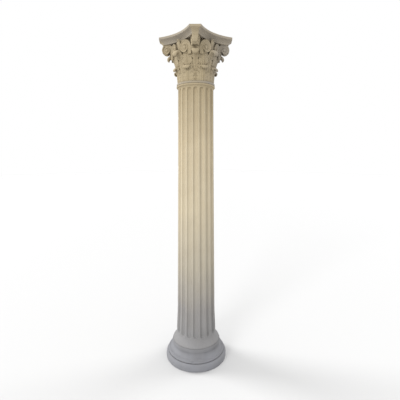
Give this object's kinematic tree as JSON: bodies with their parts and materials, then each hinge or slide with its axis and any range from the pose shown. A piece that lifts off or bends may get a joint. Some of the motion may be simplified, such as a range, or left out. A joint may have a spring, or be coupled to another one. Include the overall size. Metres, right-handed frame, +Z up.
{
  "type": "corinthian column",
  "caption": "Free-standing fluted column with a round moulded base, tapering shaft and carved capital with leaves, scrolls and a hollow-sided abacus.",
  "frame": {"origin": "middle of the underside, on the ground", "axes": "+Z up the column; the sides of the abacus lie along X and Y, its horns point along the diagonals"},
  "size_m": [0.592, 0.592, 3],
  "materials": {
    "base_stone": "weathered matt cool grey",
    "shaft_stone": "weathered matt warm cream, greyer at the foot",
    "capital_stone": "weathered matt ochre with dark grime in the hollows"
  },
  "bodies": {
    "root": {"base": "base_stone", "shaft": "shaft_stone", "capital": "capital_stone", "volutes_1": "capital_stone", "volutes_2": "capital_stone", "volutes_3": "capital_stone", "volutes_4": "capital_stone", "abacus": "capital_stone"}
  },
  "joints": []
}
